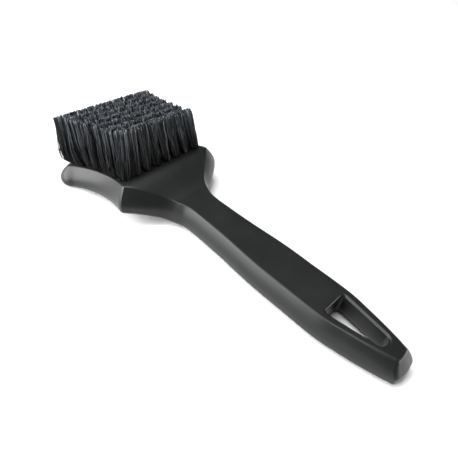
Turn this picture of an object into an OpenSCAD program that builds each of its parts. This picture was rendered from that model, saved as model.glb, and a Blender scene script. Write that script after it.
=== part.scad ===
// Short-handled wheel brush lying on its back, bristles up.
// +X runs from the handle end to the head tip, +Y is the brush's left side, +Z is up.
// Lengths are in millimetres.

/* [Handle] */
// Distance from the handle end to the head tip, along the handle
overall_length = 247.5; // [235:265]
// Thickness of the moulding from its top face to its underside
body_thickness = 16.5; // [14.5:18.5]
// Half the width of the top face at the handle end
end_half_width = 5.9; // [5.4:7.2]
// Half the width of the top face at the widest part of the grip
grip_half_width = 13.5; // [13:15]
// Half the width of the top face at the neck
neck_half_width = 10.3; // [9.6:11.4]
// Distance from the handle end to the upper edge of the end face
end_setback = 10.4; // [9:11]
// How far the end face slopes back from its lower edge to its upper edge
end_slope = 5.6; // [4.6:6.4]
// How far the side walls flare out below the top face
wall_flare = 4; // [3:5]

/* [Hanging hole] */
// Distance from the handle end to the hole's narrow end
hole_start = 19.6; // [18.5:21]
// Length of the hole along the handle
hole_length = 34.4; // [32:38]
// Half the width of the hole at its wide end
hole_half_width = 8.5; // [7.4:9]
// Radius of the hole's narrow end
hole_end_radius = 4.5; // [3.8:5]
// Radius of the hole's two wide corners
hole_corner_radius = 1.8; // [1.2:2.6]
// Depth and width of the bevel round the hole's upper edge
upper_bevel = 1.4; // [0.8:2]
// Depth of the wide bevel round the hole's lower edge
lower_bevel = 5; // [4:6]

/* [Head] */
// Half the width of the head at its back corners
head_back_half_width = 35.5; // [34:37]
// Half the width of the head at its waist
head_waist_half_width = 34.2; // [33:35.4]
// Half the width of the head at its tip
head_tip_half_width = 41.5; // [39:43]
// Angle by which the bristle face falls towards the tip, against the handle
head_tilt = 14.5; // [11:17]
// Height of the crest behind the bristles above the handle's top face
crest_rise = 8; // [6:9]
// Length of the head from the crest to the tip, along the handle
head_reach = 55; // [52:58]
// How far the head's walls flare out below the bristle face
head_flare = 5.6; // [4.6:7]
// How much thinner the head is at its tip than at the neck
tip_thinning = 4.2; // [2:4.6]

/* [Bristles] */
// Number of tuft rows from the crest to the tip
tuft_rows = 7; // [6:7]
// Number of tufts on each side of a row
tufts_per_side = 4; // [3:4]
// Diameter of the drilled tuft holes
tuft_hole_diameter = 4.4; // [3.8:4.6]
// Depth of the drilled tuft holes
tuft_hole_depth = 10; // [8:10.5]
// Free length of the bristles above the bristle face
bristle_length = 30; // [28:36]
// Radius of a tuft at its trimmed top
tuft_top_radius = 3.9; // [3:4]
// Distance from the head's side edge to the outer tuft's centre
side_inset = 5; // [4.6:6]
// Distance from the crest to the first row of tufts
back_inset = 5; // [4.6:6]
// Distance from the last row of tufts to the tip edge
tip_inset = 5.4; // [4.8:7]
// How far the first row leans towards the tip over its free length
first_row_lean = 2; // [0:3]
// How far the last row leans towards the tip over its free length
last_row_lean = 9; // [8:11]

/* [Anchors] */
// Width of the metal anchor plate across its hole
anchor_width = 4.3; // [3.6:4.34]
// Height of the anchor plate
anchor_height = 2.2; // [1.6:2.6]
// Thickness of the anchor plate
anchor_thickness = 0.4; // [0.3:0.5]
// Height of the folded bristle under the anchor plate
fold_height = 0.9; // [0.6:1.2]

/* [Hidden] */
$fn = 48;
slip = 0.05;
end_x = end_setback;
crest_x = overall_length - head_reach;
rise_start_x = crest_x - 25.5;
corner_offset = 0.9;
corner_x = crest_x + corner_offset;
corner_from = corner_x - 2.2;
corner_to = corner_x + 0.8;
corner_half_turn = 28;
corner_heading = 16;
tip_x = overall_length;
tip_bow = 0.8;
end_bow = 0.4;
tip_corner_radius = 2.4;
end_taper_x = 24;
end_thinning = 2;
end_roll = 3;
end_face_depth = 8.5;
grip_wall_share = 0.65;
head_wall_share = 0.7;
wall_steps = 4;
base_steps = 5;
grip_roll = 4.3;
head_roll = 2.6;

// Catmull-Rom point between b and c at t from 0 to 1
function spline_point(a, b, c, d, t) =
    0.5 * (2 * b + (c - a) * t + (2 * a - 5 * b + 4 * c - d) * t * t
    + (3 * b - a - 3 * c + d) * t * t * t);
function spline(p, steps) = [
    for (i = [1 : len(p) - 3])
        for (k = [0 : steps - 1])
            spline_point(p[i - 1], p[i], p[i + 1], p[i + 2], k / steps)
];
function arc(centre, r, from, to, steps) = [
    for (k = [0 : steps])
        centre + r * [cos(from + (to - from) * k / steps), sin(from + (to - from) * k / steps)]
];
function smooth(t) =
    let(u = min(1, max(0, t)))
    u * u * (3 - 2 * u);

// Left half of the top face's outline, from the end's middle round to the tip's middle
end_corner = arc([end_x + 2, end_half_width - 2], 2, 180, 105, 3);
side_path = [
    [end_x + 1, end_half_width - 2],
    [end_x + 3, end_half_width + 0.3],
    [25, lerp_width(0.45)],
    [38, lerp_width(0.76)],
    [50, lerp_width(0.97)],
    [63, grip_half_width],
    [77, grip_half_width - 0.2],
    [100, neck_half_width + 2.7],
    [125, neck_half_width + 0.9],
    [rise_start_x - 24, neck_half_width + 0.1],
    [rise_start_x - 9, neck_half_width],
    [rise_start_x - 1, neck_half_width + 2.2],
    [rise_start_x + 7.5, 16.8],
    [rise_start_x + 15.5, 24.8],
    [corner_x - 2.2, head_back_half_width - 1.4],
    [corner_x - 0.4, head_back_half_width - 0.1],
    [corner_x + 4, head_back_half_width + 0.5]
];
function lerp_width(t) = end_half_width + (grip_half_width - end_half_width) * t;
function head_side(t) =
    let(
        waist = 2 * head_waist_half_width - 0.5 * (head_back_half_width + head_tip_half_width),
        reach = tip_x - tip_corner_radius - corner_x
    )
    [
        corner_x + 0.8 + (reach - 0.8) * t,
        (1 - t) * (1 - t) * head_back_half_width
        + 2 * t * (1 - t) * (waist - 0.4)
        + t * t * head_tip_half_width
    ];
head_edge = [for (k = [0 : 12]) head_side(k / 12)];
tip_corner = arc([tip_x - tip_corner_radius, head_tip_half_width - tip_corner_radius],
    tip_corner_radius, 75, 15, 3);
half_outline = concat(
    [[end_x - end_bow, 0], [end_x - end_bow / 2, end_half_width * 0.4]],
    end_corner,
    spline(side_path, 4),
    head_edge,
    tip_corner,
    [[tip_x + tip_bow / 2, head_tip_half_width / 2], [tip_x + tip_bow, 0]]
);
half_count = len(half_outline);
ring_count = 2 * half_count - 2;

// Direction in which the walls flare at point i: square to the outline, and towards the
// head's back corner beside it, so that the flared walls still meet there in an edge
corner_spread = tan(corner_half_turn);
corner_miter = [-sin(corner_heading), cos(corner_heading)] / cos(corner_half_turn);
function tangent(i) =
    let(
        a = half_outline[max(0, i - 1)],
        b = half_outline[min(half_count - 1, i + 1)],
        d = b - a
    )
    d / norm(d);
function tip_corner_share(p) =
    let(
        across = head_tip_half_width - tip_corner_radius - p[1],
        along = tip_x - tip_corner_radius - p[0]
    )
    smooth(1 - max(0, along, across) / 6);
function outward(i) =
    let(
        x = half_outline[i][0],
        t = tangent(i),
        n = [-t[1], t[0]],
        before = smooth(1 - (corner_from - x) / 9),
        after = smooth(1 - (x - corner_to) / 14)
    )
    i == 0 ? [-1, 0]
    : i == half_count - 1 ? [1, 0]
    : x > corner_to + 14 ? n * (1 + 0.22 * tip_corner_share(half_outline[i]))
    : x < corner_from - 0.01 ? n + corner_spread * before * t
    : x > corner_to + 0.01 ? n - corner_spread * after * t
    : corner_miter;

// Height of the top face along the brush
function face_height(x) =
    x < crest_x
        ? crest_rise * smooth((x - rise_start_x) / (crest_x - rise_start_x))
        : crest_rise - (x - crest_x) * tan(head_tilt);
function section_tilt(x) = head_tilt * smooth((x - rise_start_x) / 27);
function end_share(x) = min(1, max(0, (end_taper_x - x) / (end_taper_x - end_x)));

function head_share(x) = smooth((x - rise_start_x) / 27);
function tip_share(x) = min(1, max(0, (x - crest_x) / head_reach));

// Side profile at x: a wall that flares and then drops straight, and a rolled lower edge
layer_count = wall_steps + base_steps + 2;
function thickness(x) =
    body_thickness - end_thinning * end_share(x) - tip_thinning * tip_share(x);
function flare(x) = wall_flare + (head_flare - wall_flare) * head_share(x);
function wall_share(x) = grip_wall_share + (head_wall_share - grip_wall_share) * head_share(x);
function roll(x) =
    let(r = grip_roll + (head_roll - grip_roll) * head_share(x))
    r + (end_roll - r) * end_share(x);
function profile(x, layer) =
    let(
        wall_depth = wall_share(x) * thickness(x),
        straight = 0.3 * head_share(x),
        up = min(1, layer / wall_steps),
        under = 90 * (layer - wall_steps - 1) / base_steps
    )
    layer <= wall_steps
        ? [flare(x) * ((1 - straight) * sin(90 * up) + straight * up), wall_depth * up]
        : [
            flare(x) - roll(x) * (1 - cos(under)),
            thickness(x) - roll(x) * (1 - sin(under))
        ];

function body_point(i, layer, side) =
    let(
        p = half_outline[i],
        n = outward(i),
        share = end_share(p[0]),
        offset_depth = profile(p[0], layer),
        shift = offset_depth[0],
        depth = offset_depth[1],
        tilt = section_tilt(p[0]),
        slope = share * end_slope * min(1, depth / end_face_depth),
        x = p[0] + n[0] * shift * (1 - share) - depth * sin(tilt) - slope,
        y = max(0, p[1] + n[1] * shift)
    )
    [x, side * y, face_height(p[0]) - depth * cos(tilt)];
body_points = [
    for (layer = [0 : layer_count - 1])
        for (k = [0 : ring_count - 1])
            k < half_count
                ? body_point(k, layer, 1)
                : body_point(ring_count - k, layer, -1)
];
function at(layer, k) = layer * ring_count + (k + ring_count) % ring_count;
wall_faces = [
    for (layer = [0 : layer_count - 2])
        for (k = [0 : ring_count - 1])
            for (half = [0, 1])
                half == 0
                    ? [at(layer, k), at(layer, k + 1), at(layer + 1, k + 1)]
                    : [at(layer, k), at(layer + 1, k + 1), at(layer + 1, k)]
];
function cap(layer, up) = [
    for (i = [0 : half_count - 2])
        let(
            quad = i == 0 ? [at(layer, 0), at(layer, 1), at(layer, -1)]
                : i == half_count - 2
                    ? [at(layer, i), at(layer, i + 1), at(layer, -i)]
                    : [at(layer, i), at(layer, i + 1), at(layer, -i - 1), at(layer, -i)],
            last = len(quad) - 1
        )
        up ? [for (j = [last : -1 : 0]) quad[j]] : quad
];

// The brush rests on the back of its grip and on the tip's underside
rear_contact = [end_taper_x, -body_thickness];
tip_contact = [
    tip_x - thickness(tip_x) * sin(head_tilt),
    face_height(tip_x) - thickness(tip_x) * cos(head_tilt)
];
rest_pitch = atan((rear_contact[1] - tip_contact[1]) / (tip_contact[0] - rear_contact[0]));
rest_lift = -min([
    for (p = body_points)
        p[0] * sin(rest_pitch) + p[2] * cos(rest_pitch)
]);
middle_x = 133.35;

module rest() {
    translate([-middle_x, 0, rest_lift])
        rotate([0, -rest_pitch, 0])
            children();
}

// Local frame of the bristle face: x along the face from the crest, z out of the face
module on_face() {
    translate([crest_x, 0, crest_rise])
        rotate([0, head_tilt, 0])
            children();
}

face_length = head_reach / cos(head_tilt);
function row_base(row) =
    back_inset + (face_length - back_inset - tip_inset) * (row - 1) / (tuft_rows - 1);
function row_lean(row) =
    first_row_lean + (last_row_lean - first_row_lean) * (row - 1) / (tuft_rows - 1);
function edge_at(s) =
    let(t = (s * cos(head_tilt) - corner_offset) / (head_reach - tip_corner_radius - corner_offset))
    head_side(min(1, max(0, t)))[1];
function tuft_base(row, place) =
    let(
        reach = edge_at(row_base(row)) - side_inset,
        pitch = 2 * reach / (2 * tufts_per_side - 1)
    )
    (place - 0.5) * pitch;

// Outline of the hanging hole, a long triangle with a round narrow end, grown by extra
module hole_outline(extra) {
    wide_x = hole_start + hole_length - hole_corner_radius;
    narrow_x = hole_start + hole_end_radius;
    wide_y = hole_half_width - hole_corner_radius;
    lean = atan((hole_half_width - hole_end_radius) / (wide_x - narrow_x));
    normal = [-sin(lean), cos(lean)];
    narrow = [narrow_x, 0] + (hole_end_radius + extra) * normal;
    wide = [wide_x, wide_y] + (hole_corner_radius + extra) * normal;
    far = hole_start + hole_length + extra;
    translate([narrow_x, 0])
        circle(r = hole_end_radius + extra);
    for (side = [-1, 1]) {
        translate([wide_x, side * wide_y])
            circle(r = hole_corner_radius + extra);
    }
    polygon([
        [narrow_x, 0], narrow, wide, [wide_x, wide_y], [far, wide_y],
        [far, -wide_y], [wide_x, -wide_y], [wide[0], -wide[1]], [narrow[0], -narrow[1]]
    ]);
}

// Bevel that starts grown by growth at wide_z and shrinks to nothing at narrow_z
module hole_bevel(wide_z, narrow_z, growth) {
    inset = 0.7;
    past_z = narrow_z + (narrow_z - wide_z) * inset / growth;
    hull() {
        translate([0, 0, wide_z])
            linear_extrude(height = 0.01)
                hole_outline(growth);
        translate([0, 0, past_z])
            linear_extrude(height = 0.01)
                hole_outline(-inset);
    }
}

module hanging_hole() {
    translate([0, 0, -2 * body_thickness])
        linear_extrude(height = 3 * body_thickness)
            hole_outline(0);
    hole_bevel(0.6, -upper_bevel, upper_bevel + 0.6);
    hole_bevel(-body_thickness - 0.5, -body_thickness + lower_bevel, 0.55 * lower_bevel);
}

module tuft_holes() {
    for (row = [1 : tuft_rows]) {
        for (place = [1 : tufts_per_side]) {
            for (side = [-1, 1]) {
                translate([row_base(row), side * tuft_base(row, place), -tuft_hole_depth])
                    cylinder(h = tuft_hole_depth + 4, d = tuft_hole_diameter);
            }
        }
    }
}

module handle_and_head() {
    color("#1c1e1f")
        rest()
            difference() {
                polyhedron(
                    points = body_points,
                    faces = concat(wall_faces, cap(0, true), cap(layer_count - 1, false)),
                    convexity = 6
                );
                hanging_hole();
                on_face()
                    tuft_holes();
            }
}

// One tuft: a bundle folded under its anchor, straight in the hole and fanned above it
module tuft(lean) {
    root_radius = tuft_hole_diameter / 2 - slip;
    waist_radius = root_radius - 0.4;
    lean_angle = atan(lean / bristle_length);
    slope_length = bristle_length / cos(lean_angle);
    difference() {
        union() {
            translate([0, 0, -tuft_hole_depth])
                cylinder(h = tuft_hole_depth, r = root_radius);
            intersection() {
                rotate([0, lean_angle, 0])
                    translate([0, 0, -2])
                        cylinder(h = slope_length + 4, r1 = waist_radius, r2 = tuft_top_radius);
                translate([-30, -10, 0])
                    cube([60, 20, bristle_length]);
            }
        }
        translate([0, 0, fold_height + anchor_height / 2 - tuft_hole_depth])
            cube([
                anchor_thickness + slip,
                tuft_hole_diameter + 1,
                anchor_height + slip
            ], center = true);
    }
}

module half_row(row, side) {
    color(row % 2 == 0 ? "#3b4046" : "#50565d")
        rest()
            on_face()
                for (place = [1 : tufts_per_side]) {
                    translate([row_base(row), side * tuft_base(row, place), 0])
                        tuft(row_lean(row));
                }
}

module anchor_row(row) {
    color("#b9bdc2")
        rest()
            on_face()
                for (place = [1 : tufts_per_side], side = [-1, 1]) {
                    translate([
                        row_base(row),
                        side * tuft_base(row, place),
                        fold_height + anchor_height / 2 - tuft_hole_depth
                    ])
                        cube([anchor_thickness, anchor_width, anchor_height], center = true);
                }
}

module tuft_row_1_left() half_row(1, 1);
module tuft_row_1_right() half_row(1, -1);
module tuft_row_2_left() half_row(2, 1);
module tuft_row_2_right() half_row(2, -1);
module tuft_row_3_left() half_row(3, 1);
module tuft_row_3_right() half_row(3, -1);
module tuft_row_4_left() half_row(4, 1);
module tuft_row_4_right() half_row(4, -1);
module tuft_row_5_left() half_row(5, 1);
module tuft_row_5_right() half_row(5, -1);
module tuft_row_6_left() half_row(6, 1);
module tuft_row_6_right() half_row(6, -1);
module tuft_row_7_left() half_row(7, 1);
module tuft_row_7_right() half_row(7, -1);
module anchor_row_1() anchor_row(1);
module anchor_row_2() anchor_row(2);
module anchor_row_3() anchor_row(3);
module anchor_row_4() anchor_row(4);
module anchor_row_5() anchor_row(5);
module anchor_row_6() anchor_row(6);
module anchor_row_7() anchor_row(7);

handle_and_head();
tuft_row_1_left();
tuft_row_1_right();
tuft_row_2_left();
tuft_row_2_right();
tuft_row_3_left();
tuft_row_3_right();
tuft_row_4_left();
tuft_row_4_right();
tuft_row_5_left();
tuft_row_5_right();
tuft_row_6_left();
tuft_row_6_right();
tuft_row_7_left();
tuft_row_7_right();
anchor_row_1();
anchor_row_2();
anchor_row_3();
anchor_row_4();
anchor_row_5();
anchor_row_6();
anchor_row_7();
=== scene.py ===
"""Short-handled wheel brush lying on its back on a pale studio floor, bristles up."""
import math

import bmesh
import bpy
import numpy as np
from mathutils import Matrix, Vector


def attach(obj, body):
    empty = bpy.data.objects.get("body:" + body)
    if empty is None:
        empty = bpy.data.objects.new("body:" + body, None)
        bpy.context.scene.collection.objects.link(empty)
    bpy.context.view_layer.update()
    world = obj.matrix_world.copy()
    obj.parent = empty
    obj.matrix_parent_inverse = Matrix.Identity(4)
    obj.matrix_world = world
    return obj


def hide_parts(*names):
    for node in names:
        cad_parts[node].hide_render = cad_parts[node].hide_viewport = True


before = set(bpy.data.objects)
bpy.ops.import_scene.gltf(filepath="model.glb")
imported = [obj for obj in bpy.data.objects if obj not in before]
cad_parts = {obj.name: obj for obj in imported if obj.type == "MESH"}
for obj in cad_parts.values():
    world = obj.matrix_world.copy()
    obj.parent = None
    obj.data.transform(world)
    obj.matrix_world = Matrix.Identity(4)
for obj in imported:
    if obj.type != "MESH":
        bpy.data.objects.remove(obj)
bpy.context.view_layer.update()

# ---------------------------------------------------------------- sizes, in millimetres
MM = 0.001

OVERALL_LENGTH = 247.5
BODY_THICKNESS = 16.5
END_HALF_WIDTH = 5.9
GRIP_HALF_WIDTH = 13.5
NECK_HALF_WIDTH = 10.3
END_X = 10.4
END_SLOPE = 5.6
END_BOW = 0.4
END_THINNING = 2.0
END_ROLL = 3.0
END_FACE_DEPTH = 8.5
END_TAPER_X = 24.0
WALL_FLARE = 4.0
GRIP_WALL_SHARE = 0.65
HEAD_WALL_SHARE = 0.7
GRIP_ROLL = 4.3
HEAD_ROLL = 2.6

HEAD_BACK = 35.5
HEAD_WAIST = 34.2
HEAD_TIP = 41.5
HEAD_TILT = math.radians(14.5)
HEAD_REACH = 55.0
HEAD_FLARE = 5.6
CREST_RISE = 8.0
TIP_THINNING = 4.2
TIP_BOW = 0.8
TIP_CORNER = 2.4
CREST_X = OVERALL_LENGTH - HEAD_REACH
RISE_LENGTH = 25.5
RISE_X = CREST_X - RISE_LENGTH
CORNER_OFFSET = 0.9
CORNER_X = CREST_X + CORNER_OFFSET
CORNER_FROM = CORNER_X - 2.2
CORNER_TO = CORNER_X + 0.8
CORNER_HALF_TURN = math.radians(28.0)
CORNER_HEADING = math.radians(16.0)
CORNER_REACH_BACK = 9.0
CORNER_REACH_ON = 14.0
TIP_X = OVERALL_LENGTH
TIP_CORNER_REACH = 6.0
TIP_CORNER_SPREAD = 0.22

HOLE_START = 19.6
HOLE_LENGTH = 34.4
HOLE_HALF_WIDTH = 8.5
HOLE_END_RADIUS = 4.5
HOLE_CORNER_RADIUS = 1.8

MIDDLE_X = 133.35
REST_PITCH = math.radians(0.42426)
REST_LIFT = 16.5006

# Rounding of the top edge, soft round the hanging hole and crisp from RIM_END_X on
EDGE_ROUND = 0.55
RIM_ROUND = 1.7
RIM_END_X = 58.0
RIM_BLEND = 30.0
# Share of the head's flare that is straight, the rest bows outward
STRAIGHT_FLARE = 0.3
MERGE_DISTANCE = 0.0005
SHARP_ANGLE = math.radians(38)

# Hanging hole: rounding at the top, and the part opened out towards the underside
HOLE_TOP_ROUND = 1.5
HOLE_UNDER_GROW = 3.3
HOLE_UNDER_DEPTH = 9.0
HOLE_UNDER_CORNER = 1.8

TUFT_ROWS = 7
TUFTS_PER_SIDE = 4
TUFT_HOLE_RADIUS = 2.2
SIDE_INSET = 5.0
BACK_INSET = 5.0
TIP_INSET = 5.4
BRISTLE_LENGTH = 29.6

# Trimmed top of the bristle block, in the bristle face's own axes
TOP_BACK = 4.6
TOP_TIP = 66.6
TOP_BACK_HALF = 29.5
TOP_TIP_HALF = 38.3
TRIM_SLANT = 0.042

FILAMENTS = 140
FILAMENT_RADIUS = 0.21
FILAMENT_STEPS = 9
FILAMENT_SIDES = 4
FILAMENT_DEPTH = 1.2
GOLDEN = math.pi * (3.0 - math.sqrt(5.0))
# Spread of the tufts' patches along and across the face, a little over 1 where they overlap
PATCH_SHARE = np.array([0.76, 1.08])
TIP_SCATTER = 0.42
HEIGHT_SCATTER = 0.26
CLUMPS = 11
CLUMP_PULL = 0.12
CLUMP_HEIGHT_SCATTER = 0.22
ROW_CROWN = 2.2
STRAY_SHARE = 0.05
STRAY_REACH = 1.5
STRAY_RISE = 1.0
SWELL_LEFT = 9.0
SWELL_RIGHT = 4.0
SWELL_TIP = 7.0
STRAND_TONE_POWER = 2.6


# ---------------------------------------------------------------- curves
def smooth(t):
    u = np.clip(t, 0.0, 1.0)
    return u * u * (3.0 - 2.0 * u)


def spline(points, steps):
    """Catmull-Rom curve through points[1:-1]."""
    p = np.array(points, float)
    out = []
    for i in range(1, len(p) - 2):
        a, b, c, d = p[i - 1], p[i], p[i + 1], p[i + 2]
        for k in range(steps):
            t = k / steps
            out.append(
                0.5 * (2 * b + (c - a) * t + (2 * a - 5 * b + 4 * c - d) * t * t
                       + (3 * b - a - 3 * c + d) * t ** 3)
            )
    return out


def arc(cx, cy, r, start, end, steps):
    angles = np.radians(np.linspace(start, end, steps + 1))
    return [np.array([cx + r * math.cos(a), cy + r * math.sin(a)]) for a in angles]


def grip_width(share):
    return END_HALF_WIDTH + (GRIP_HALF_WIDTH - END_HALF_WIDTH) * share


def head_side(t):
    waist = 2 * HEAD_WAIST - 0.5 * (HEAD_BACK + HEAD_TIP) - 0.4
    reach = TIP_X - TIP_CORNER - CORNER_X - 0.8
    y = (1 - t) ** 2 * HEAD_BACK + 2 * t * (1 - t) * waist + t * t * HEAD_TIP
    return np.array([CORNER_X + 0.8 + reach * t, y])


def half_outline():
    """Left half of the top face's outline, from the end's middle to the tip's middle."""
    corner = 2.0
    side = [
        (END_X + 1, END_HALF_WIDTH - corner),
        (END_X + 3, END_HALF_WIDTH + 0.3),
        # the grip widens
        (25, grip_width(0.45)),
        (38, grip_width(0.76)),
        (50, grip_width(0.97)),
        (63, GRIP_HALF_WIDTH),
        # and narrows to the neck
        (77, GRIP_HALF_WIDTH - 0.2),
        (100, NECK_HALF_WIDTH + 2.7),
        (125, NECK_HALF_WIDTH + 0.9),
        (RISE_X - 24, NECK_HALF_WIDTH + 0.1),
        (RISE_X - 9, NECK_HALF_WIDTH),
        (RISE_X - 1, NECK_HALF_WIDTH + 2.2),
        # the concave flank runs out to the head's back corner
        (RISE_X + 7.5, 16.8),
        (RISE_X + 15.5, 24.8),
        (CORNER_X - 2.2, HEAD_BACK - 1.4),
        (CORNER_X - 0.4, HEAD_BACK - 0.1),
        (CORNER_X + 4, HEAD_BACK + 0.5),
    ]
    end_edge = [
        np.array([END_X - END_BOW * (1 - t * t), (END_HALF_WIDTH - corner) * t])
        for t in np.linspace(0, 1, 8)[:-1]
    ]
    end_corner = arc(END_X + corner, END_HALF_WIDTH - corner, corner, 180, 105, 9)
    tip_corner = arc(TIP_X - TIP_CORNER, HEAD_TIP - TIP_CORNER, TIP_CORNER, 75, 5, 9)
    tip_edge = [
        np.array([TIP_X + TIP_BOW * (1 - t * t), (HEAD_TIP - TIP_CORNER) * t])
        for t in np.linspace(1, 0, 24)[1:]
    ]
    head = [head_side(t) for t in np.linspace(0, 1, 60)]
    return np.array(end_edge + end_corner + spline(side, 16) + head + tip_corner + tip_edge)


def face_height(x):
    rise = CREST_RISE * smooth((x - RISE_X) / RISE_LENGTH)
    fall = CREST_RISE - (x - CREST_X) * math.tan(HEAD_TILT)
    return np.where(x < CREST_X, rise, fall)


def end_share(x):
    return np.clip((END_TAPER_X - x) / (END_TAPER_X - END_X), 0.0, 1.0)


def tip_share(x):
    return np.clip((x - CREST_X) / HEAD_REACH, 0.0, 1.0)


def thickness(x):
    return BODY_THICKNESS - END_THINNING * end_share(x) - TIP_THINNING * tip_share(x)


def head_share(x):
    return smooth((x - RISE_X) / 27.0)


def section_tilt(x):
    return HEAD_TILT * head_share(x)


def rest_matrix():
    """From the handle's own axes, in millimetres, to the row frame, in metres."""
    turn = Matrix.Rotation(-REST_PITCH, 4, "Y")
    return Matrix.Scale(MM, 4) @ Matrix.Translation((-MIDDLE_X, 0.0, REST_LIFT)) @ turn


REST = rest_matrix()
FACE = REST @ Matrix.Translation((CREST_X, 0.0, CREST_RISE)) @ Matrix.Rotation(HEAD_TILT, 4, "Y")


def placed(points, matrix):
    m = np.array(matrix)
    return np.asarray(points, float) @ m[:3, :3].T + m[:3, 3]


def mesh_object(name, verts, faces):
    mesh = bpy.data.meshes.new(name)
    mesh.from_pydata([tuple(v) for v in verts], [], faces)
    mesh.update()
    obj = bpy.data.objects.new(name, mesh)
    bpy.context.collection.objects.link(obj)
    return obj


def recalculate(obj, merge=0.0):
    bm = bmesh.new()
    bm.from_mesh(obj.data)
    if merge:
        bmesh.ops.remove_doubles(bm, verts=bm.verts, dist=merge)
    bmesh.ops.recalc_face_normals(bm, faces=bm.faces)
    bm.to_mesh(obj.data)
    bm.free()


# ---------------------------------------------------------------- the moulding
def flare_directions(p):
    """Square to the outline, and towards the head's back corner beside it, so that the walls
    still meet there in an edge."""
    t = np.gradient(p, axis=0)
    t /= np.linalg.norm(t, axis=1)[:, None]
    n = np.stack([-t[:, 1], t[:, 0]], axis=1)
    x = p[:, 0]
    spread = math.tan(CORNER_HALF_TURN)
    before = smooth(1 - (CORNER_FROM - x) / CORNER_REACH_BACK) * (x < CORNER_FROM)
    after = smooth(1 - (x - CORNER_TO) / CORNER_REACH_ON) * (x > CORNER_TO)
    n += spread * (before - after)[:, None] * t
    miter = np.array([-math.sin(CORNER_HEADING), math.cos(CORNER_HEADING)])
    n[(x >= CORNER_FROM) & (x <= CORNER_TO)] = miter / math.cos(CORNER_HALF_TURN)
    across = HEAD_TIP - TIP_CORNER - p[:, 1]
    along = TIP_X - TIP_CORNER - x
    away = np.maximum(0, np.maximum(along, across))
    near_tip_corner = smooth(1 - away / TIP_CORNER_REACH) * (x > CORNER_TO + CORNER_REACH_ON)
    n *= (1 + TIP_CORNER_SPREAD * near_tip_corner)[:, None]
    n[0] = (-1, 0)
    n[-1] = (1, 0)
    return n


def edge_round(x):
    """The top edge is crisp along the grip and the head, and soft round the hanging hole."""
    return EDGE_ROUND + (RIM_ROUND - EDGE_ROUND) * smooth((RIM_END_X - x) / RIM_BLEND)


def wall_shift(x, flare, share):
    straight = STRAIGHT_FLARE * head_share(x)
    return flare * ((1 - straight) * np.sin(0.5 * math.pi * share) + straight * share)


def profile(x, kind, t):
    """Outward shift and depth of the side wall at x; t runs 0 to 1 in each of its parts."""
    head = head_share(x)
    flare = WALL_FLARE + (HEAD_FLARE - WALL_FLARE) * head
    roll = GRIP_ROLL + (HEAD_ROLL - GRIP_ROLL) * head
    roll = roll + (END_ROLL - roll) * end_share(x)
    thick = thickness(x)
    wall = (GRIP_WALL_SHARE + (HEAD_WALL_SHARE - GRIP_WALL_SHARE) * head) * thick
    rim = edge_round(x)
    a = t * math.pi / 2
    if kind == "edge":
        depth = rim * (1 - math.cos(a))
        return wall_shift(x, flare, depth / wall) - rim * (1 - math.sin(a)), depth
    if kind == "wall":
        depth = rim + (wall - rim) * t
        return wall_shift(x, flare, depth / wall), depth
    if kind == "drop":
        return flare, wall + (thick - roll - wall) * t
    return flare - roll * (1 - math.cos(a)), thick - roll * (1 - math.sin(a))


def body_ring(p, n, kind, t):
    """One line round the left half of the moulding, at one station of its side wall."""
    x = p[:, 0]
    share = end_share(x)
    shift, depth = profile(x, kind, t)
    tilt = section_tilt(x)
    slope = share * END_SLOPE * np.minimum(1.0, depth / END_FACE_DEPTH)
    # The top edge's rounding pulls in all round; the flare fades out across the end face.
    along = np.minimum(shift, 0.0) + np.maximum(shift, 0.0) * (1 - share)
    gx = x + n[:, 0] * along - depth * np.sin(tilt) - slope
    gy = np.maximum(0.0, p[:, 1] + n[:, 1] * shift)
    gy[0] = 0.0
    gy[-1] = 0.0
    gz = face_height(x) - depth * np.cos(tilt)
    return np.stack([gx, gy, gz], axis=1)


def body_mesh():
    p = half_outline()
    n = flare_directions(p)
    stations = [("edge", t) for t in np.linspace(0, 1, 5)]
    stations += [("wall", t) for t in np.linspace(0, 1, 13)[1:]]
    stations += [("drop", t) for t in (0.5, 1.0)]
    stations += [("roll", t) for t in np.linspace(0, 1, 13)[1:]]
    half = [body_ring(p, n, kind, t) for kind, t in stations]
    count = len(p)
    ring = 2 * count - 2
    verts = []
    for h in half:
        mirrored = h[-2:0:-1] * np.array([1, -1, 1])
        verts.append(np.concatenate([h, mirrored]))
    verts = list(np.concatenate(verts))
    faces = []
    for layer in range(len(half) - 1):
        a = layer * ring
        b = a + ring
        for k in range(ring):
            k2 = (k + 1) % ring
            faces.append((a + k, a + k2, b + k2, b + k))
    add_cap(verts, faces, 0, count, ring, True)
    add_cap(verts, faces, (len(half) - 1) * ring, count, ring, False)
    body = mesh_object("handle_and_head_moulding", np.array(verts), faces)
    recalculate(body, MERGE_DISTANCE)
    return body


def add_cap(verts, faces, first, count, ring, top):
    """Closes the top or bottom with strips across the brush, finer near the edges."""
    columns = np.array([0.0, 0.03, 0.1, 0.25, 0.5, 0.75, 0.9, 0.97, 1.0])
    rows = []
    for i in range(count):
        left = first + i
        right = first + (ring - i) % ring
        if i in (0, count - 1):
            rows.append([left] * len(columns))
            continue
        a, b = verts[left], verts[right]
        row = [left]
        for c in columns[1:-1]:
            verts.append(a + (b - a) * c)
            row.append(len(verts) - 1)
        rows.append(row + [right])
    for i in range(count - 1):
        for j in range(len(columns) - 1):
            quad = [rows[i][j], rows[i + 1][j], rows[i + 1][j + 1], rows[i][j + 1]]
            face = list(dict.fromkeys(quad))
            if len(face) > 2:
                faces.append(tuple(face if top else face[::-1]))


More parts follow.
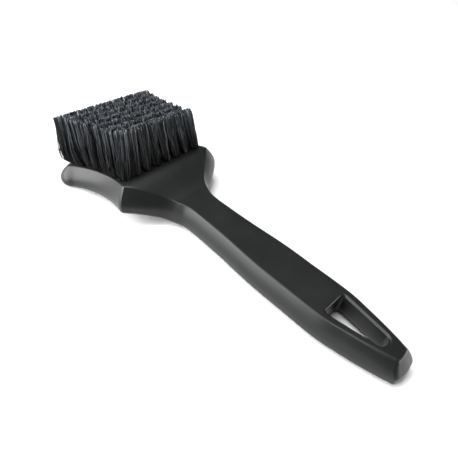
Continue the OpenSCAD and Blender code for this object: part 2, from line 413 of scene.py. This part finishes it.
def hole_loop(extra, corner=HOLE_CORNER_RADIUS, back=0.0):
    """Outline of the hanging hole grown by extra, its wide end back by back, in order."""
    wide_x = HOLE_START + HOLE_LENGTH - corner - extra - back
    narrow_x = HOLE_START + HOLE_END_RADIUS
    wide_y = HOLE_HALF_WIDTH - corner
    lean = math.degrees(math.atan((HOLE_HALF_WIDTH - HOLE_END_RADIUS) / (wide_x - narrow_x)))
    r = corner + extra
    points = arc(wide_x, wide_y, r, 0, 90 + lean, 12)
    points += arc(narrow_x, 0, HOLE_END_RADIUS + extra, 90 + lean, 270 - lean, 20)
    points += arc(wide_x, -wide_y, r, 270 - lean, 360, 12)
    return np.array(points)


def hole_cutter():
    """Plug for the hanging hole: rounded over at the top, opened out towards the underside."""
    above = 0.45
    below = 3.0
    overlap = 0.05
    loop = hole_loop(2.2, back=-2.2)
    rings = [np.column_stack([loop, np.full(len(loop), above)])]
    for a in np.radians([12, 25, 40, 55, 70, 80, 90]):
        grow = HOLE_TOP_ROUND * (1 - math.sin(a))
        loop = hole_loop(grow, back=-grow)
        z = np.full(len(loop), -HOLE_TOP_ROUND * (1 - math.cos(a)))
        rings.append(np.column_stack([loop, z]))
    for a in np.radians([90, 78, 62, 46, 30, 15, 0]):
        share = 1 - math.sin(a)
        corner = HOLE_CORNER_RADIUS + HOLE_UNDER_CORNER * share
        loop = hole_loop(HOLE_UNDER_GROW * share, corner, -0.6 * share)
        z = -thickness(loop[:, 0]) + HOLE_UNDER_DEPTH * (1 - math.cos(a)) - overlap
        rings.append(np.column_stack([loop, z]))
    last = hole_loop(HOLE_UNDER_GROW * 1.3, HOLE_CORNER_RADIUS + HOLE_UNDER_CORNER, -0.8)
    rings.append(np.column_stack([last, np.full(len(last), -BODY_THICKNESS - below)]))
    return plug("hole_cutter", rings)


def plug(name, rings):
    """Closed solid through rings of equal length, one above the other."""
    size = len(rings[0])
    verts = np.concatenate(rings)
    faces = [tuple(range(size))]
    for i in range(len(rings) - 1):
        for k in range(size):
            k2 = (k + 1) % size
            faces.append((i * size + k, i * size + k2, (i + 1) * size + k2, (i + 1) * size + k))
    faces.append(tuple(range(len(verts) - 1, len(verts) - size - 1, -1)))
    solid = mesh_object(name, verts, faces)
    recalculate(solid)
    return solid


def cut(target, cutter):
    mod = target.modifiers.new("hole", "BOOLEAN")
    mod.operation = "DIFFERENCE"
    mod.solver = "EXACT"
    mod.object = cutter
    deps = bpy.context.evaluated_depsgraph_get()
    result = bpy.data.meshes.new_from_object(target.evaluated_get(deps))
    target.modifiers.clear()
    target.data = result
    bpy.data.objects.remove(cutter)


def make_body():
    body = body_mesh()
    cut(body, hole_cutter())
    recalculate(body)
    body.data.transform(REST)
    body.data.polygons.foreach_set("use_smooth", [True] * len(body.data.polygons))
    body.data.set_sharp_from_angle(angle=SHARP_ANGLE)
    return body


# ---------------------------------------------------------------- the bristles
def face_length():
    return HEAD_REACH / math.cos(HEAD_TILT)


def edge_at(s):
    reach = HEAD_REACH - TIP_CORNER - CORNER_OFFSET
    t = (s * math.cos(HEAD_TILT) - CORNER_OFFSET) / reach
    return head_side(min(1.0, max(0.0, t)))[1]


def row_share(row):
    return (row - 1) / (TUFT_ROWS - 1)


def row_base(row):
    return BACK_INSET + (face_length() - BACK_INSET - TIP_INSET) * row_share(row)


def tuft_base(row, place, side):
    reach = edge_at(row_base(row)) - SIDE_INSET
    pitch = 2 * reach / (2 * TUFTS_PER_SIDE - 1)
    return np.array([row_base(row), side * (place - 0.5) * pitch])


def top_half_width(share):
    return TOP_BACK_HALF + (TOP_TIP_HALF - TOP_BACK_HALF) * (0.35 * share + 0.65 * share ** 2.2)


def trim_height(y):
    return BRISTLE_LENGTH + TRIM_SLANT * y


def tuft_top(row, place, side):
    """Centre and half sizes of a tuft's patch of the trimmed top."""
    pitch_s = (TOP_TIP - TOP_BACK) / TUFT_ROWS
    s = TOP_BACK + pitch_s * (row - 0.5)
    half = top_half_width(row_share(row))
    pitch_y = half / TUFTS_PER_SIDE
    y = side * pitch_y * (place - 0.5)
    return np.array([s, y]), np.array([0.5 * pitch_s, 0.5 * pitch_y])


def disc_to_square(u, v):
    """Spreads a unit disc over a unit square with rounded corners."""
    r = np.hypot(u, v) + 1e-9
    m = np.maximum(np.abs(u), np.abs(v)) + 1e-9
    stretch = 1.0 + (r / m - 1.0) * 0.75
    return u * stretch, v * stretch


def spread_early(row, place, side):
    """Powers that bend a tuft's filaments outward near its base, along and across the face.
    The lower the power, the sooner they spread: soonest at the tip and the left edge."""
    tip = row_share(row) ** 3
    edge = (place / TUFTS_PER_SIDE) ** 3
    left = edge if side > 0 else 0.5 * edge
    return np.array([1.05 - 0.55 * tip - 0.25 * left, 0.78 - 0.25 * left - 0.12 * tip])


def bulge(place, side):
    """How far the outermost filaments swell out over the head's edge, most on the left."""
    return (SWELL_LEFT if side > 0 else SWELL_RIGHT) * (place / TUFTS_PER_SIDE) ** 4


def gather(rng, end):
    """Draws the tips of a tuft together into small clumps with gaps between them."""
    seeds = end[rng.choice(FILAMENTS, CLUMPS, replace=False)]
    gap = np.linalg.norm(end[:, None, :] - seeds[None, :, :], axis=2)
    clump = np.argmin(gap, axis=1)
    return end + (seeds[clump] - end) * CLUMP_PULL, clump


def round_corners(end):
    """The near left corner of the trimmed top is worn round, the near right one leans back."""
    outward = np.array([-0.568, 0.822])
    worn_from = np.array([3.3, 20.5])
    worn_share = 0.9
    beyond = np.maximum(0.0, (end - worn_from) @ outward)
    end = end - beyond[:, None] * outward * worn_share
    to_the_right = smooth((-end[:, 1] - 20.0) / 6.0)
    to_the_back = smooth((16.0 - end[:, 0]) / 12.0)
    lean = np.array([4.0, 0.0])
    return end - (to_the_right * to_the_back)[:, None] * lean


def tuft_section(rng):
    """Places of the filaments across a tuft, on a unit disc."""
    k = np.arange(FILAMENTS)
    r = np.sqrt((k + 0.5) / FILAMENTS)
    a = k * GOLDEN + rng.uniform(0, 2 * math.pi)
    u = r * np.cos(a) + rng.normal(0, 0.03, FILAMENTS)
    v = r * np.sin(a) + rng.normal(0, 0.03, FILAMENTS)
    return u, v


def tuft_ends(rng, row, place, side, u, v):
    """Where the filaments of a tuft end on the trimmed top, and how high."""
    top, half = tuft_top(row, place, side)
    su, sv = disc_to_square(u, v)
    end = top + np.stack([su, sv], axis=1) * (half * PATCH_SHARE)
    end += rng.normal(0, TIP_SCATTER, (FILAMENTS, 2))
    end, clump = gather(rng, end)
    end = round_corners(end)
    height = trim_height(end[:, 1]) + rng.normal(0, HEIGHT_SCATTER, FILAMENTS)
    height += rng.normal(0, CLUMP_HEIGHT_SCATTER, CLUMPS)[clump]
    height -= ROW_CROWN * np.abs(su) ** 3
    strays = rng.random(FILAMENTS) < STRAY_SHARE
    end[strays] += rng.normal(0, STRAY_REACH, (strays.sum(), 2))
    height[strays] += rng.uniform(0.0, STRAY_RISE, strays.sum())
    return end, height


def filament_waves(rng, t):
    """Slight sideways waves of the filaments, none at the base."""
    size = rng.uniform(0.1, 0.42, (FILAMENTS, 1))
    turns = rng.uniform(1.2, 2.6, (FILAMENTS, 1))
    phase = rng.uniform(0, 2 * math.pi, (FILAMENTS, 1))
    heading = rng.uniform(0, 2 * math.pi, (FILAMENTS, 1))
    grown = np.sin(math.pi * np.clip(t, 0, 0.92))[None, :] ** 0.7
    wave = size * grown * np.sin(2 * math.pi * turns * t[None, :] + phase)
    return np.stack([wave * np.cos(heading), wave * np.sin(heading)], axis=2)


def tuft_filaments(rng, row, place, side):
    """Centre lines of one tuft's filaments: an array of count x steps x 3 on the face's axes."""
    u, v = tuft_section(rng)
    base = tuft_base(row, place, side)
    start = base + np.stack([u, v], axis=1) * (TUFT_HOLE_RADIUS - FILAMENT_RADIUS)
    end, height = tuft_ends(rng, row, place, side, u, v)
    t = np.linspace(0.0, 1.0, FILAMENT_STEPS)
    bushy = spread_early(row, place, side)
    ease = t[None, :, None] ** (rng.uniform(0.62, 1.3, (FILAMENTS, 1, 1)) * bushy)
    flat = start[:, None, :] + (end - start)[:, None, :] * ease
    flat += filament_waves(rng, t)
    swell = (t ** 0.35 * (1 - t) ** 1.6)[None, :] * rng.uniform(0.3, 1.15, (FILAMENTS, 1))
    outer = np.maximum(0.0, side * v + 0.3)[:, None]
    tipward = np.maximum(0.0, u + 0.3)[:, None]
    flat[:, :, 1] += swell * bulge(place, side) * outer * side
    flat[:, :, 0] += swell * SWELL_TIP * row_share(row) ** 4 * tipward
    z = -FILAMENT_DEPTH + (height[:, None] + FILAMENT_DEPTH) * t[None, :]
    return np.concatenate([flat, z[:, :, None]], axis=2)


def tubes(lines, rng):
    """Sweeps a small polygon along every line and closes both ends."""
    count, steps, _ = lines.shape
    tangent = np.gradient(lines, axis=1)
    tangent /= np.linalg.norm(tangent, axis=2)[:, :, None]
    side = np.cross(tangent, np.array([0.0, 1.0, 0.0]))
    side /= np.linalg.norm(side, axis=2)[:, :, None]
    up = np.cross(tangent, side)
    twist = rng.uniform(0, 2 * math.pi, (count, 1, 1))
    radius = FILAMENT_RADIUS * rng.uniform(0.86, 1.12, (count, 1, 1))
    rings = []
    for j in range(FILAMENT_SIDES):
        a = twist + 2 * math.pi * j / FILAMENT_SIDES
        rings.append(lines + radius * (np.cos(a) * side + np.sin(a) * up))
    verts = np.stack(rings, axis=2).reshape(-1, 3)
    n = FILAMENT_SIDES
    faces = []
    for c in range(count):
        first = c * steps * n
        for s in range(steps - 1):
            a = first + s * n
            for j in range(n):
                j2 = (j + 1) % n
                faces.append((a + j, a + j2, a + n + j2, a + n + j))
        faces.append(tuple(first + j for j in reversed(range(n))))
        last = first + (steps - 1) * n
        faces.append(tuple(last + j for j in range(n)))
    share = np.repeat(np.tile(np.linspace(0, 1, steps), count), n)
    tone = np.repeat(rng.random(count), steps * n)
    return verts, faces, share, tone


def make_half_row(row, side, name, material):
    """The filaments of one half row, painted with their share of length and their tone."""
    rng = np.random.default_rng(1000 * row + (1 if side > 0 else 2))
    lines = np.concatenate(
        [tuft_filaments(rng, row, place, side) for place in range(1, TUFTS_PER_SIDE + 1)]
    )
    verts, faces, share, tone = tubes(lines, rng)
    obj = mesh_object(name, placed(verts, FACE), faces)
    paint = obj.data.color_attributes.new("strand", "FLOAT_COLOR", "POINT")
    colour = np.ones((len(verts), 4), np.float32)
    # Red holds the share of length that drives the painted root shade and tip light; green holds
    # each strand's random tone
    colour[:, 0] = share
    colour[:, 1] = tone ** STRAND_TONE_POWER
    paint.data.foreach_set("color", colour.ravel())
    obj.data.polygons.foreach_set("use_smooth", [True] * len(obj.data.polygons))
    obj.data.set_sharp_from_angle(angle=math.radians(75))
    obj.data.materials.append(material)
    return obj


# ---------------------------------------------------------------- materials
class Nodes:
    """Small helper round one material's node tree."""

    def __init__(self, name):
        self.material = bpy.data.materials.new(name)
        self.material.use_nodes = True
        self.tree = self.material.node_tree
        self.shader = self.tree.nodes["Principled BSDF"]

    def add(self, kind, **values):
        node = self.tree.nodes.new(kind)
        for key, value in values.items():
            if key in node.inputs:
                node.inputs[key].default_value = value
            else:
                setattr(node, key, value)
        return node

    def link(self, a, b):
        self.tree.links.new(a, b)

    def noise(self, scale, detail=4.0, roughness=0.55):
        coords = self.add("ShaderNodeTexCoord")
        noise = self.add("ShaderNodeTexNoise", Scale=scale, Detail=detail, Roughness=roughness)
        self.link(coords.outputs["Object"], noise.inputs["Vector"])
        return noise.outputs["Fac"]

    def ramp(self, source, stops):
        ramp = self.add("ShaderNodeValToRGB")
        elements = ramp.color_ramp.elements
        while len(elements) < len(stops):
            elements.new(0.5)
        for element, (place, colour) in zip(elements, stops):
            element.position = place
            element.color = (*colour, 1.0)
        self.link(source, ramp.inputs["Fac"])
        return ramp.outputs["Color"]

    def range(self, source, low, high):
        node = self.add("ShaderNodeMapRange")
        node.inputs["To Min"].default_value = low
        node.inputs["To Max"].default_value = high
        self.link(source, node.inputs["Value"])
        return node.outputs["Result"]

    def mix(self, factor, a, b):
        node = self.add("ShaderNodeMix", data_type="RGBA")
        self.link(factor, node.inputs["Factor"])
        self.link(a, node.inputs["A"])
        self.link(b, node.inputs["B"])
        return node.outputs["Result"]

    def bump(self, height, strength, distance):
        node = self.add("ShaderNodeBump", Strength=strength, Distance=distance)
        self.link(height, node.inputs["Height"])
        return node.outputs["Normal"]


PLASTIC_TONES = (
    (0.3, (0.0074, 0.0077, 0.0079)),
    (0.7, (0.0112, 0.0119, 0.0117)),
)
WIRE_TONES = (
    (0.3, (0.42, 0.43, 0.44)),
    (0.7, (0.63, 0.64, 0.65)),
)
FLOOR_TONES = (
    (0.0, (0.86, 0.86, 0.86)),
    (1.0, (0.9, 0.9, 0.9)),
)
# Colour along a filament, from its hole to its cut end: darker towards the hole as painted shade
# deep in the tuft, lighter up the strand and brightest at the cut end as painted light; the
# light strands' pale upper parts are painted highlights
DARK_STRAND_PAINTED_SHADING = (
    (0.0, (0.0004, 0.0004, 0.0005)),
    (0.5, (0.0008, 0.0008, 0.0010)),
    (0.95, (0.0020, 0.0023, 0.0027)),
    (1.0, (0.0060, 0.0068, 0.0080)),
)
LIGHT_STRAND_PAINTED_SHADING = (
    (0.0, (0.0020, 0.0020, 0.0022)),
    (0.35, (0.0240, 0.0265, 0.0300)),
    (0.95, (0.1250, 0.1400, 0.1560)),
    (1.0, (0.3000, 0.3300, 0.3600)),
)


def moulded_plastic():
    m = Nodes("moulded_black_plastic")
    tone = m.ramp(m.noise(38.0, 3.0), PLASTIC_TONES)
    m.link(tone, m.shader.inputs["Base Color"])
    m.link(m.range(m.noise(60.0, 5.0, 0.6), 0.26, 0.38), m.shader.inputs["Roughness"])
    m.shader.inputs["Specular IOR Level"].default_value = 0.25
    grain = m.noise(2600.0, 2.0)
    m.link(m.bump(grain, 0.12, 0.00005), m.shader.inputs["Normal"])
    return m.material


def filament_plastic():
    m = Nodes("stiff_black_filament")
    strand = m.add("ShaderNodeVertexColor", layer_name="strand")
    split = m.add("ShaderNodeSeparateColor")
    m.link(strand.outputs["Color"], split.inputs["Color"])
    # Base colour: painted shade at the roots and painted light and highlights up to the cut
    # ends, mixed by each strand's random tone
    dark = m.ramp(split.outputs["Red"], DARK_STRAND_PAINTED_SHADING)
    light = m.ramp(split.outputs["Red"], LIGHT_STRAND_PAINTED_SHADING)
    m.link(m.mix(split.outputs["Green"], dark, light), m.shader.inputs["Base Color"])
    m.link(m.range(m.noise(900.0, 3.0), 0.28, 0.45), m.shader.inputs["Roughness"])
    m.shader.inputs["Specular IOR Level"].default_value = 0.22
    m.link(m.bump(m.noise(5200.0, 2.0), 0.15, 0.00004), m.shader.inputs["Normal"])
    return m.material


def galvanised_wire():
    m = Nodes("galvanised_anchor")
    tone = m.ramp(m.noise(420.0, 4.0), WIRE_TONES)
    m.link(tone, m.shader.inputs["Base Color"])
    m.link(m.range(m.noise(700.0, 4.0), 0.28, 0.5), m.shader.inputs["Roughness"])
    m.link(m.bump(m.noise(2400.0, 2.0), 0.2, 0.00004), m.shader.inputs["Normal"])
    m.shader.inputs["Metallic"].default_value = 1.0
    return m.material


def floor_paint():
    m = Nodes("pale_floor")
    tone = m.ramp(m.noise(3.0, 2.0), FLOOR_TONES)
    m.link(tone, m.shader.inputs["Base Color"])
    m.link(m.range(m.noise(12.0, 2.0), 0.55, 0.7), m.shader.inputs["Roughness"])
    m.shader.inputs["Specular IOR Level"].default_value = 0.1
    return m.material


# ---------------------------------------------------------------- stage, light and camera
FLOOR_HALF_SIZE = 3.0
FLOOR_CELLS = 8
WORLD_STRENGTH = 0.06


def make_floor():
    """A wide flat sheet under the brush."""
    line = np.linspace(-FLOOR_HALF_SIZE, FLOOR_HALF_SIZE, FLOOR_CELLS + 1)
    verts = [(x, y, 0.0) for y in line for x in line]
    row = FLOOR_CELLS + 1
    faces = []
    for i in range(FLOOR_CELLS):
        for j in range(FLOOR_CELLS):
            a = i * row + j
            faces.append((a, a + 1, a + row + 1, a + row))
    floor = mesh_object("floor", verts, faces)
    floor.data.materials.append(floor_paint())
    return floor


def area_light(name, place, target, size, power):
    """A white rectangular soft light at place, facing target."""
    data = bpy.data.lights.new(name, "AREA")
    data.shape = "RECTANGLE"
    data.size, data.size_y = size
    data.energy = power
    light = bpy.data.objects.new(name, data)
    bpy.context.collection.objects.link(light)
    light.location = place
    aim = Vector(target) - Vector(place)
    light.rotation_euler = aim.to_track_quat("-Z", "Y").to_euler()
    return light


def make_world():
    world = bpy.data.worlds.new("studio")
    bpy.context.scene.world = world
    world.use_nodes = True
    background = world.node_tree.nodes["Background"]
    background.inputs["Color"].default_value = (1.0, 1.0, 1.0, 1.0)
    background.inputs["Strength"].default_value = WORLD_STRENGTH


def make_lights():
    """One soft light overhead, one low on the head's left, one low beyond the handle's end."""
    area_light("overhead", (0.3, 0.05, 1.15), (0.0, 0.0, 0.0), (0.9, 0.9), 21.0)
    panel = area_light("left_panel", (0.36, 0.42, 0.24), (0.1, 0.03, 0.02), (0.8, 0.46), 4.3)
    panel.data.spread = math.radians(95.0)
    area_light("end_panel", (-0.62, -0.47, 0.14), (-0.12, 0.0, 0.0), (0.6, 0.3), 4.6)


# Camera place in metres; its focal length is given in widths of the picture
CAMERA_PLACE = (-0.12835, 0.17295, 0.22016)
CAMERA_AIM = (0.42942, -0.57771, -0.69415)
CAMERA_ROLL = math.radians(10.025)
FOCAL_WIDTHS = 1.0439


def make_camera():
    data = bpy.data.cameras.new("camera")
    data.sensor_width = 36.0
    data.lens = 36.0 * FOCAL_WIDTHS
    data.clip_start = 0.01
    camera = bpy.data.objects.new("camera", data)
    bpy.context.collection.objects.link(camera)
    aim = Vector(CAMERA_AIM).normalized()
    level = aim.cross(Vector((0, 0, 1))).normalized()
    up = level.cross(aim)
    right = level * math.cos(CAMERA_ROLL) + up * math.sin(CAMERA_ROLL)
    up = right.cross(aim)
    turn = Matrix((right, up, -aim)).transposed().to_4x4()
    camera.matrix_world = Matrix.Translation(CAMERA_PLACE) @ turn
    bpy.context.scene.camera = camera


# ---------------------------------------------------------------- putting it together
body_material = moulded_plastic()
bristle_material = filament_plastic()
anchor_material = galvanised_wire()

body = make_body()
body.data.materials.append(body_material)
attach(body, "root")
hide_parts("handle_and_head")

for row in range(1, TUFT_ROWS + 1):
    for side, word in ((1, "left"), (-1, "right")):
        node = f"tuft_row_{row}_{word}"
        tufts = make_half_row(row, side, f"bristles_row_{row}_{word}", bristle_material)
        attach(tufts, "root")
        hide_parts(node)
    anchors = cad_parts[f"anchor_row_{row}"]
    anchors.data.materials.clear()
    anchors.data.materials.append(anchor_material)

make_floor()
make_world()
make_lights()
make_camera()
bpy.context.scene.view_settings.view_transform = "Standard"
